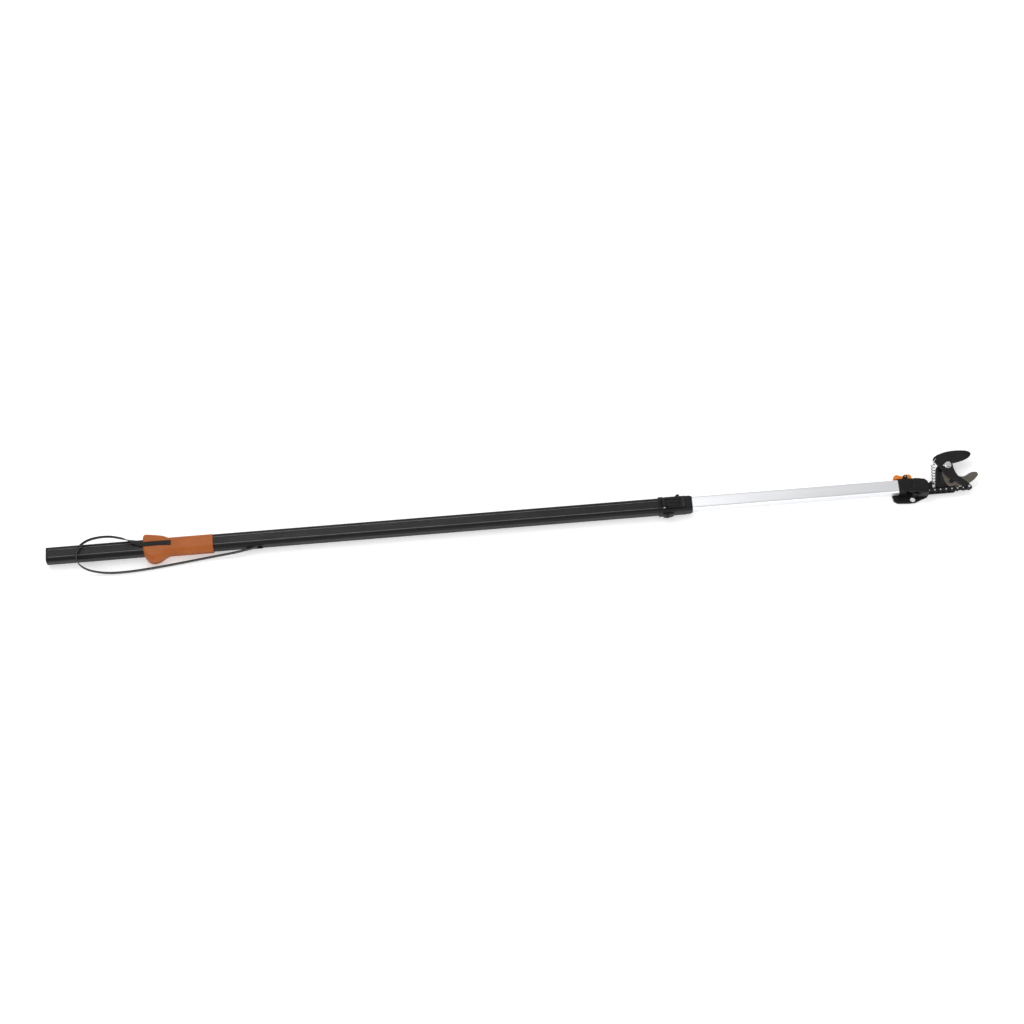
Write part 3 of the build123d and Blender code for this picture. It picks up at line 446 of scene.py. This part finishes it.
def merged_copy(node):
    """The node's triangles as one welded bmesh with its flat faces joined up."""
    shell = bmesh.new()
    shell.from_mesh(NODES[node].data)
    bmesh.ops.remove_doubles(shell, verts=shell.verts, dist=2e-6)
    bmesh.ops.dissolve_limit(
        shell, angle_limit=math.radians(0.8), verts=shell.verts, edges=shell.edges,
        delimit={"NORMAL"},
    )
    return shell


def round_edges(piece, width, segments=2, angle=32):
    """A live bevel on every sharp edge, so that edges catch the light."""
    bevel = piece.modifiers.new("edges", "BEVEL")
    bevel.width = width
    bevel.segments = segments
    bevel.limit_method = "ANGLE"
    bevel.angle_limit = math.radians(angle)
    bevel.use_clamp_overlap = True
    bevel.harden_normals = False
    smooth(piece, angle)


def soften(node, width):
    """Replaces a node by the same shape with its sharp edges rounded."""
    piece = settle("fine_" + node, merged_copy(node), SLOT_OF[node], NODES[node]["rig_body"])
    round_edges(piece, width)
    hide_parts(node)


class SoftenPieces:
    """Common work of the operators that round the edges of hard pieces."""

    bl_options = {"REGISTER"}
    pieces = ()

    def execute(self, context):
        for node, width in self.pieces:
            soften(node, width * MM)
        return {"FINISHED"}


# -------------------------------------------------------------------- stage
FLOOR_HALF = 15
FLOOR_GAP = 0.0002


class PRUNER_OT_stage(bpy.types.Operator):
    """Camera, floor and soft light"""

    bl_idname = "pruner.stage"
    bl_label = "Stage"

    def execute(self, context):
        stage = context.scene.pruner_stage
        self.camera(context, stage)
        self.floor()
        self.light(context, stage)
        return {"FINISHED"}

    def camera(self, context, stage):
        flat = math.cos(stage.elevation)
        look = Vector((
            math.sin(stage.azimuth) * flat,
            math.cos(stage.azimuth) * flat,
            -math.sin(stage.elevation),
        ))
        right = Vector((math.cos(stage.azimuth), -math.sin(stage.azimuth), 0))
        up = right.cross(look)
        turn = Matrix.Rotation(-stage.roll, 3, look)
        right = turn @ right
        up = turn @ up
        data = bpy.data.cameras.new("camera")
        data.lens = stage.lens
        data.sensor_width = 36
        camera = bpy.data.objects.new("camera", data)
        context.scene.collection.objects.link(camera)
        axes = Matrix((right, up, -look)).transposed().to_4x4()
        camera.matrix_world = Matrix.Translation(Vector(stage.aim) - look * stage.distance) @ axes
        context.scene.camera = camera

    def floor(self):
        ground = bmesh.new()
        bmesh.ops.create_grid(ground, x_segments=4, y_segments=4, size=FLOOR_HALF)
        bmesh.ops.translate(ground, verts=ground.verts, vec=(1.1, 0, FLOOR_Z - FLOOR_GAP))
        mesh = bpy.data.meshes.new("floor")
        ground.to_mesh(mesh)
        ground.free()
        floor = bpy.data.objects.new("floor", mesh)
        bpy.context.scene.collection.objects.link(floor)
        paper = Finish("paper", (0.93, 0.93, 0.93), 0.9, specular=0.1)
        paper.set("Emission Color", (1, 1, 1, 1))
        paper.set("Emission Strength", 0.38)
        paper.tint(paper.noise(3), (0.925, 0.925, 0.925), (0.935, 0.935, 0.935))
        mesh.materials.append(paper.material)

    def light(self, context, stage):
        world = bpy.data.worlds.new("sky")
        world.use_nodes = True
        world.node_tree.nodes["Background"].inputs["Color"].default_value = (1, 1, 1, 1)
        world.node_tree.nodes["Background"].inputs["Strength"].default_value = stage.sky
        context.scene.world = world
        context.scene.view_settings.view_transform = "Standard"
        for name, place, size, power in (
            ("key", (0.2, 1.6, 3.2), 2.6, stage.key),
            ("front", (1.6, -3.4, 1.6), 2.2, stage.key * 0.5),
        ):
            data = bpy.data.lights.new(name, "AREA")
            data.shape = "SQUARE"
            data.size = size
            data.energy = power
            lamp = bpy.data.objects.new(name, data)
            context.scene.collection.objects.link(lamp)
            aim = Vector((1.15, 0, 0)) - Vector(place)
            lamp.rotation_euler = aim.to_track_quat("-Z", "Y").to_euler()
            lamp.location = place


# --------------------------------------------------------------- pull strap
# Centre line of the webbing, in millimetres, from its clamp on the grip
STRAP_ROUTE = (
    (307, 3, 17.9),
    (272, 3, 17.9),
    (240, 3.4, 18),
    (213, 13, 21),
    (188, 22.5, 23.8),
    (154, 30.5, 25),
    (112, 27, 25),
    (86, 13, 24.5),
    (73.5, -10, 24),
    (78.5, -32, 12),
    (99, -44, -4),
    (137, -51, -13.8),
    (180, -53.5, -13.9),
    (245, -50, -13.8),
    (320, -41.5, -13.9),
    (385, -34, -12.5),
    (435, -30, -8),
    (477, -28, -1.5),
    (520, -19.5, 0),
)
TWIST_START = 236 * MM
TWIST_END = 186 * MM


def centre_line(route):
    """Points along a smooth NURBS line that takes the route as its control points."""
    curve = bpy.data.curves.new("route", "CURVE")
    curve.dimensions = "3D"
    spline = curve.splines.new("NURBS")
    spline.points.add(len(route) - 1)
    for point, place in zip(spline.points, route):
        point.co = (*[value * MM for value in place], 1)
    spline.order_u = 3
    spline.use_endpoint_u = True
    curve.resolution_u = 12
    holder = bpy.data.objects.new("route", curve)
    mesh = bpy.data.meshes.new_from_object(holder)
    points = [vertex.co.copy() for vertex in mesh.vertices]
    bpy.data.objects.remove(holder)
    bpy.data.meshes.remove(mesh)
    return points


def tape_section(width, thickness):
    """Corners of a flat tape's section, with slightly rounded selvedges."""
    half = width / 2
    lift = thickness / 2
    inset = lift * 0.6
    upper = [(-half, 0), (-half + inset * 0.4, lift * 0.7), (-half + inset * 1.4, lift)]
    upper += [(half - inset * 1.4, lift), (half - inset * 0.4, lift * 0.7), (half, 0)]
    lower = [(across, -up) for across, up in reversed(upper[1:-1])]
    return upper + lower


class PRUNER_OT_strap(bpy.types.Operator):
    """Pull loop of flat webbing, from the grip to the slot in the pole"""

    bl_idname = "pruner.strap"
    bl_label = "Pull strap"

    def execute(self, context):
        settings = context.scene.pruner_strap
        line = centre_line(STRAP_ROUTE)
        section = tape_section(settings.width, settings.thickness)
        tape = bmesh.new()
        layout = tape.loops.layers.uv.new("along")
        rings = []
        travelled = 0.0
        lengths = []
        for index, point in enumerate(line):
            ahead = line[min(index + 1, len(line) - 1)]
            behind = line[max(index - 1, 0)]
            run = (ahead - behind).normalized()
            if index:
                travelled += (point - line[index - 1]).length
            lengths.append(travelled)
            across = self.across(point, run, index, line)
            face = run.cross(across).normalized()
            rings.append([tape.verts.new(point + across * x + face * y) for x, y in section])
        for index, (first, second) in enumerate(zip(rings, rings[1:])):
            self.bridge(tape, layout, first, second, lengths[index:index + 2], section)
        tape.faces.new(list(reversed(rings[0])))
        tape.faces.new(rings[-1])
        piece = settle("webbing_loop", tape, "webbing")
        smooth(piece, 60)
        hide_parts("pull_strap", "strap_end")
        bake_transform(piece)
        return {"FINISHED"}

    def across(self, point, run, index, line):
        """Width direction: flat on the grip, then turning to stand on its edge."""
        flat = Vector((0, 0, 1)).cross(run).normalized()
        upright = run.cross(flat).normalized()
        past_twist = index > len(line) // 2
        share = (TWIST_START - point.x) / (TWIST_START - TWIST_END)
        share = 1.0 if past_twist else min(1.0, max(0.0, share))
        turn = share * share * (3 - 2 * share) * math.pi / 2
        return flat * math.cos(turn) + upright * math.sin(turn)

    def bridge(self, tape, layout, first, second, lengths, section):
        """One ring of faces, with a map that runs along the tape."""
        count = len(first)
        width = max(across for across, _ in section) * 2
        for place in range(count):
            after = (place + 1) % count
            face = tape.faces.new((first[place], first[after], second[after], second[place]))
            sides = (place, after, after, place)
            ends = (lengths[0], lengths[0], lengths[1], lengths[1])
            for loop, side, end in zip(face.loops, sides, ends):
                loop[layout].uv = (end, section[side][0] / width + 0.5)


# ------------------------------------------------------------ return spring
SPRING_END = 4.9 * MM
SPRING_SIDE = 1.4 * MM
POINTS_PER_TURN = 12


class PRUNER_OT_spring(bpy.types.Operator):
    """Extension spring with a hook at each end"""

    bl_idname = "pruner.spring"
    bl_label = "Return spring"

    def execute(self, context):
        settings = context.scene.pruner_spring
        bottom = Vector((
            SPRING_LOW.x + SPRING_END, SPRING_LOW.y + SPRING_SIDE, SPRING_LOW.z + SPRING_END,
        ))
        top = Vector((SPRING_HIGH.x - SPRING_END, SPRING_HIGH.y - SPRING_SIDE, bottom.z))
        axis = (top - bottom).normalized()
        side = axis.cross(Vector((0, 0, 1))).normalized()
        anchor = Vector((
            (ANCHOR_LOW.x + ANCHOR_HIGH.x) / 2, (ANCHOR_LOW.y + ANCHOR_HIGH.y) / 2, bottom.z,
        ))
        hole = PIVOT + Vector((-28, 19.5, 0)) * MM
        points = self.ring(anchor, axis, side, 3.2 * MM)
        points += self.coil(bottom, top, side, settings)
        points += self.hook(top, hole, axis)
        curve = bpy.data.curves.new("spring", "CURVE")
        curve.dimensions = "3D"
        spline = curve.splines.new("NURBS")
        spline.points.add(len(points) - 1)
        for point, place in zip(spline.points, points):
            point.co = (*place, 1)
        spline.order_u = 4
        spline.use_endpoint_u = True
        curve.resolution_u = 3
        curve.bevel_depth = settings.wire
        curve.bevel_resolution = 3
        curve.use_fill_caps = True
        holder = bpy.data.objects.new("spring", curve)
        wire = bmesh.new()
        mesh = bpy.data.meshes.new_from_object(holder)
        wire.from_mesh(mesh)
        bpy.data.objects.remove(holder)
        bmesh.ops.remove_doubles(wire, verts=wire.verts, dist=1e-6)
        bmesh.ops.recalc_face_normals(wire, faces=wire.faces)
        piece = settle("coil_spring", wire, "spring_steel")
        smooth(piece, 50)
        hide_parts("return_spring")
        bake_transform(piece)
        return {"FINISHED"}

    def ring(self, centre, axis, side, radius):
        """Eye round the anchor pin, ending on the spring's side."""
        steps = 10
        turns = [math.radians(-60 - 300 * step / steps) for step in range(steps + 1)]
        return [
            centre + (axis * math.cos(turn) + side * math.sin(turn)) * radius for turn in turns
        ]

    def coil(self, bottom, top, side, settings):
        """The helix of the body."""
        axis = (top - bottom).normalized()
        third = axis.cross(side)
        count = settings.turns * POINTS_PER_TURN
        found = []
        for step in range(count + 1):
            turn = 2 * math.pi * step / POINTS_PER_TURN
            centre = bottom.lerp(top, step / count)
            spoke = side * math.cos(turn) + third * math.sin(turn)
            found.append(centre + spoke * settings.radius)
        return found

    def hook(self, top, hole, axis):
        """Wire from the last coil over the blade's heel and down into its hole."""
        over = BLADE_HIGH.z + 1.5 * MM
        start = top + axis * 4 * MM
        return [
            Vector((start.x + 2 * MM, start.y, top.z + 3 * MM)),
            Vector((start.x + 2.5 * MM, start.y + 4 * MM, over)),
            Vector((hole.x - 1 * MM, hole.y - 2.5 * MM, over + 0.4 * MM)),
            Vector((hole.x, hole.y, over)),
            Vector((hole.x, hole.y, BLADE_HIGH.z - 2 * MM)),
            Vector((hole.x, hole.y, BLADE_LOW.z - 0.5 * MM)),
        ]


# --------------------------------------------------------------- the blades
def grind_edges(shell, level, width, inside):
    """Bevels the face edges at one level whose middles pass the test."""
    chosen = []
    for edge in shell.edges:
        first, second = (vertex.co for vertex in edge.verts)
        middle = (first + second) / 2 - PIVOT
        flat = abs(first.z - level) < 1e-5 and abs(second.z - level) < 1e-5
        if flat and len(edge.link_faces) == 2 and edge.calc_face_angle(0) > 1 and inside(middle):
            chosen.append(edge)
    bmesh.ops.bevel(
        shell, geom=chosen, offset=width, segments=1, profile=0.5, affect="EDGES", material=1,
        clamp_overlap=True, offset_type="OFFSET",
    )


def on_beak(middle):
    """The hollow cutting side of the beak, out to its tip."""
    return middle.x > 36 * MM and 4 * MM < middle.y < 27 * MM


def on_tail(middle):
    """The long lower side of the tail."""
    within = -22 * MM < middle.x < 41 * MM and middle.y < -8 * MM
    return within and middle.x < -1.05 * middle.y - 22 * MM


def on_anvil(middle):
    """The working side of the fixed blade."""
    return middle.x > 16 * MM and middle.y > -31 * MM


class PRUNER_OT_blades(bpy.types.Operator):
    """Moving and fixed blades with ground bevels"""

    bl_idname = "pruner.blades"
    bl_label = "Blades"

    def execute(self, context):
        settings = context.scene.pruner_blades
        bare = ground_edge()
        beak = merged_copy("cutting_blade")
        grind_edges(beak, BLADE_HIGH.z, settings.grind, on_beak)
        grind_edges(beak, BLADE_HIGH.z, settings.edge, on_tail)
        piece = settle("ground_blade", beak, "coated_blade", "blade", extra=(bare,))
        round_edges(piece, 0.35 * MM)
        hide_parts("cutting_blade")
        anvil = merged_copy("counter_blade")
        grind_edges(anvil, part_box("counter_blade")[1].z, settings.edge, on_anvil)
        piece = settle("fixed_blade", anvil, "counter_steel", "head", extra=(bare,))
        round_edges(piece, 0.3 * MM)
        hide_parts("counter_blade")
        return {"FINISHED"}


# ------------------------------------------------------------- hard pieces
RIDGE_SHORT_OF_TUBE = 32 * MM
RIDGE_WIDTH = 1.5 * MM
RIDGE_HEIGHT = 0.9 * MM
RIDGE_OUT = 9.5 * MM
RIDGE_SUNK = 0.2 * MM


class PRUNER_OT_pole(SoftenPieces, bpy.types.Operator):
    """Raised lines of the outer tube, its end plug and the strap guide"""

    bl_idname = "pruner.pole"
    bl_label = "Outer pole"
    pieces = (("pole_end_plug", 0.6), ("strap_guide", 0.5))

    def execute(self, context):
        super().execute(context)
        lines = bmesh.new()
        length = TUBE_HIGH.x - TUBE_LOW.x - RIDGE_SHORT_OF_TUBE
        for side in (1, -1):
            for face in (1, -1):
                bar = bmesh.ops.create_cube(lines, size=1)["verts"]
                bmesh.ops.scale(lines, verts=bar, vec=(length, RIDGE_WIDTH, RIDGE_HEIGHT))
                middle = TUBE_LOW.x + 1 * MM + length / 2
                level = face * (TUBE_HIGH.z - RIDGE_SUNK)
                bmesh.ops.translate(lines, verts=bar, vec=(middle, side * RIDGE_OUT, level))
        bmesh.ops.bevel(
            lines, geom=lines.edges[:], offset=0.3 * MM, segments=2, profile=0.5, affect="EDGES",
            material=-1,
        )
        piece = settle("panel_lines", lines, "black_tube", "outer_pole")
        # The ridges get a lighter black than the tube: a painted highlight along the raised
        # lines.
        piece.data.materials[0] = coated_steel("painted_highlight_ridge", (0.09, 0.09, 0.09), 0.35)
        smooth(piece, 40)
        return {"FINISHED"}


class PRUNER_OT_clamp(SoftenPieces, bpy.types.Operator):
    """Telescope clamp with its flip lever"""

    bl_idname = "pruner.clamp"
    bl_label = "Telescope clamp"
    pieces = (
        ("collar_body", 0.7), ("collar_ring", 0.6), ("lock_lever", 0.5),
        ("lever_pin", 0.3), ("collar_screws", 0.25),
    )


class PRUNER_OT_grip(SoftenPieces, bpy.types.Operator):
    """Pull grip with the strap's clamp"""

    bl_idname = "pruner.grip"
    bl_label = "Pull grip"
    pieces = (("grip_sleeve", 0.9), ("strap_clamp", 0.25), ("clamp_screws", 0.2))


class PRUNER_OT_adapter(SoftenPieces, bpy.types.Operator):
    """Head adapter and tilt button"""

    bl_idname = "pruner.adapter"
    bl_label = "Head adapter"
    pieces = (
        ("head_adapter", 0.6), ("adapter_screws", 0.3), ("latch_pin", 0.25), ("tilt_button", 0.9),
    )


class PRUNER_OT_casing(SoftenPieces, bpy.types.Operator):
    """Swivel casing shells"""

    bl_idname = "pruner.casing"
    bl_label = "Swivel casing"
    pieces = (("casing_front", 0.7), ("casing_back", 0.7), ("casing_screws", 0.2))


class PRUNER_OT_head(SoftenPieces, bpy.types.Operator):
    """Head frame, bolts and nuts"""

    bl_idname = "pruner.head"
    bl_label = "Cutting head"
    pieces = (
        ("head_frame", 0.5), ("counter_bolt", 0.3), ("counter_nut", 0.3), ("pivot_bolt", 0.7),
        ("pivot_washer", 0.12), ("pivot_nut", 0.5), ("spring_anchor", 0.3),
    )


class PRUNER_OT_chain(SoftenPieces, bpy.types.Operator):
    """Pull chain and its pin"""

    bl_idname = "pruner.chain"
    bl_label = "Chain"
    pieces = (
        ("chain_outer_plates", 0.25), ("chain_inner_plates", 0.25), ("chain_rivets", 0.35),
        ("strap_yoke", 0.3), ("tail_pin", 0.4),
    )


class PRUNER_OT_tubes(bpy.types.Operator):
    """Finish of every part of the frame"""

    bl_idname = "pruner.tubes"
    bl_label = "Plain parts"

    def execute(self, context):
        for name, node in NODES.items():
            node.data.materials.clear()
            node.data.materials.append(finishes[SLOT_OF[name]])
        return {"FINISHED"}


# ----------------------------------------------------------------- workshop
STEPS = (
    PRUNER_OT_stage, PRUNER_OT_strap, PRUNER_OT_spring, PRUNER_OT_blades, PRUNER_OT_pole,
    PRUNER_OT_clamp, PRUNER_OT_grip, PRUNER_OT_adapter, PRUNER_OT_casing, PRUNER_OT_head,
    PRUNER_OT_chain, PRUNER_OT_tubes,
)
SETTINGS = {
    "pruner_stage": StageSettings,
    "pruner_strap": StrapSettings,
    "pruner_spring": SpringSettings,
    "pruner_blades": BladeSettings,
    "pruner_colours": ColourSettings,
}


class PRUNER_PT_workshop(bpy.types.Panel):
    """Sidebar list of the pruner's pieces"""

    bl_idname = "PRUNER_PT_workshop"
    bl_label = "Pole pruner"
    bl_space_type = "VIEW_3D"
    bl_region_type = "UI"
    bl_category = "Pruner"

    def draw(self, context):
        for step in STEPS:
            self.layout.operator(step.bl_idname)
        for name, group in SETTINGS.items():
            box = self.layout.box()
            for field in group.__annotations__:
                box.prop(getattr(context.scene, name), field)


def register():
    for group in SETTINGS.values():
        bpy.utils.register_class(group)
    for step in STEPS:
        bpy.utils.register_class(step)
    bpy.utils.register_class(PRUNER_PT_workshop)
    for name, group in SETTINGS.items():
        setattr(bpy.types.Scene, name, PointerProperty(type=group))


def unregister():
    for name in SETTINGS:
        delattr(bpy.types.Scene, name)
    bpy.utils.unregister_class(PRUNER_PT_workshop)
    for step in reversed(STEPS):
        bpy.utils.unregister_class(step)
    for group in SETTINGS.values():
        bpy.utils.unregister_class(group)


def main():
    register()
    finishes.update(make_finishes())
    for step in STEPS:
        family, action = step.bl_idname.split(".")
        getattr(getattr(bpy.ops, family), action)()


if __name__ == "__main__":
    main()
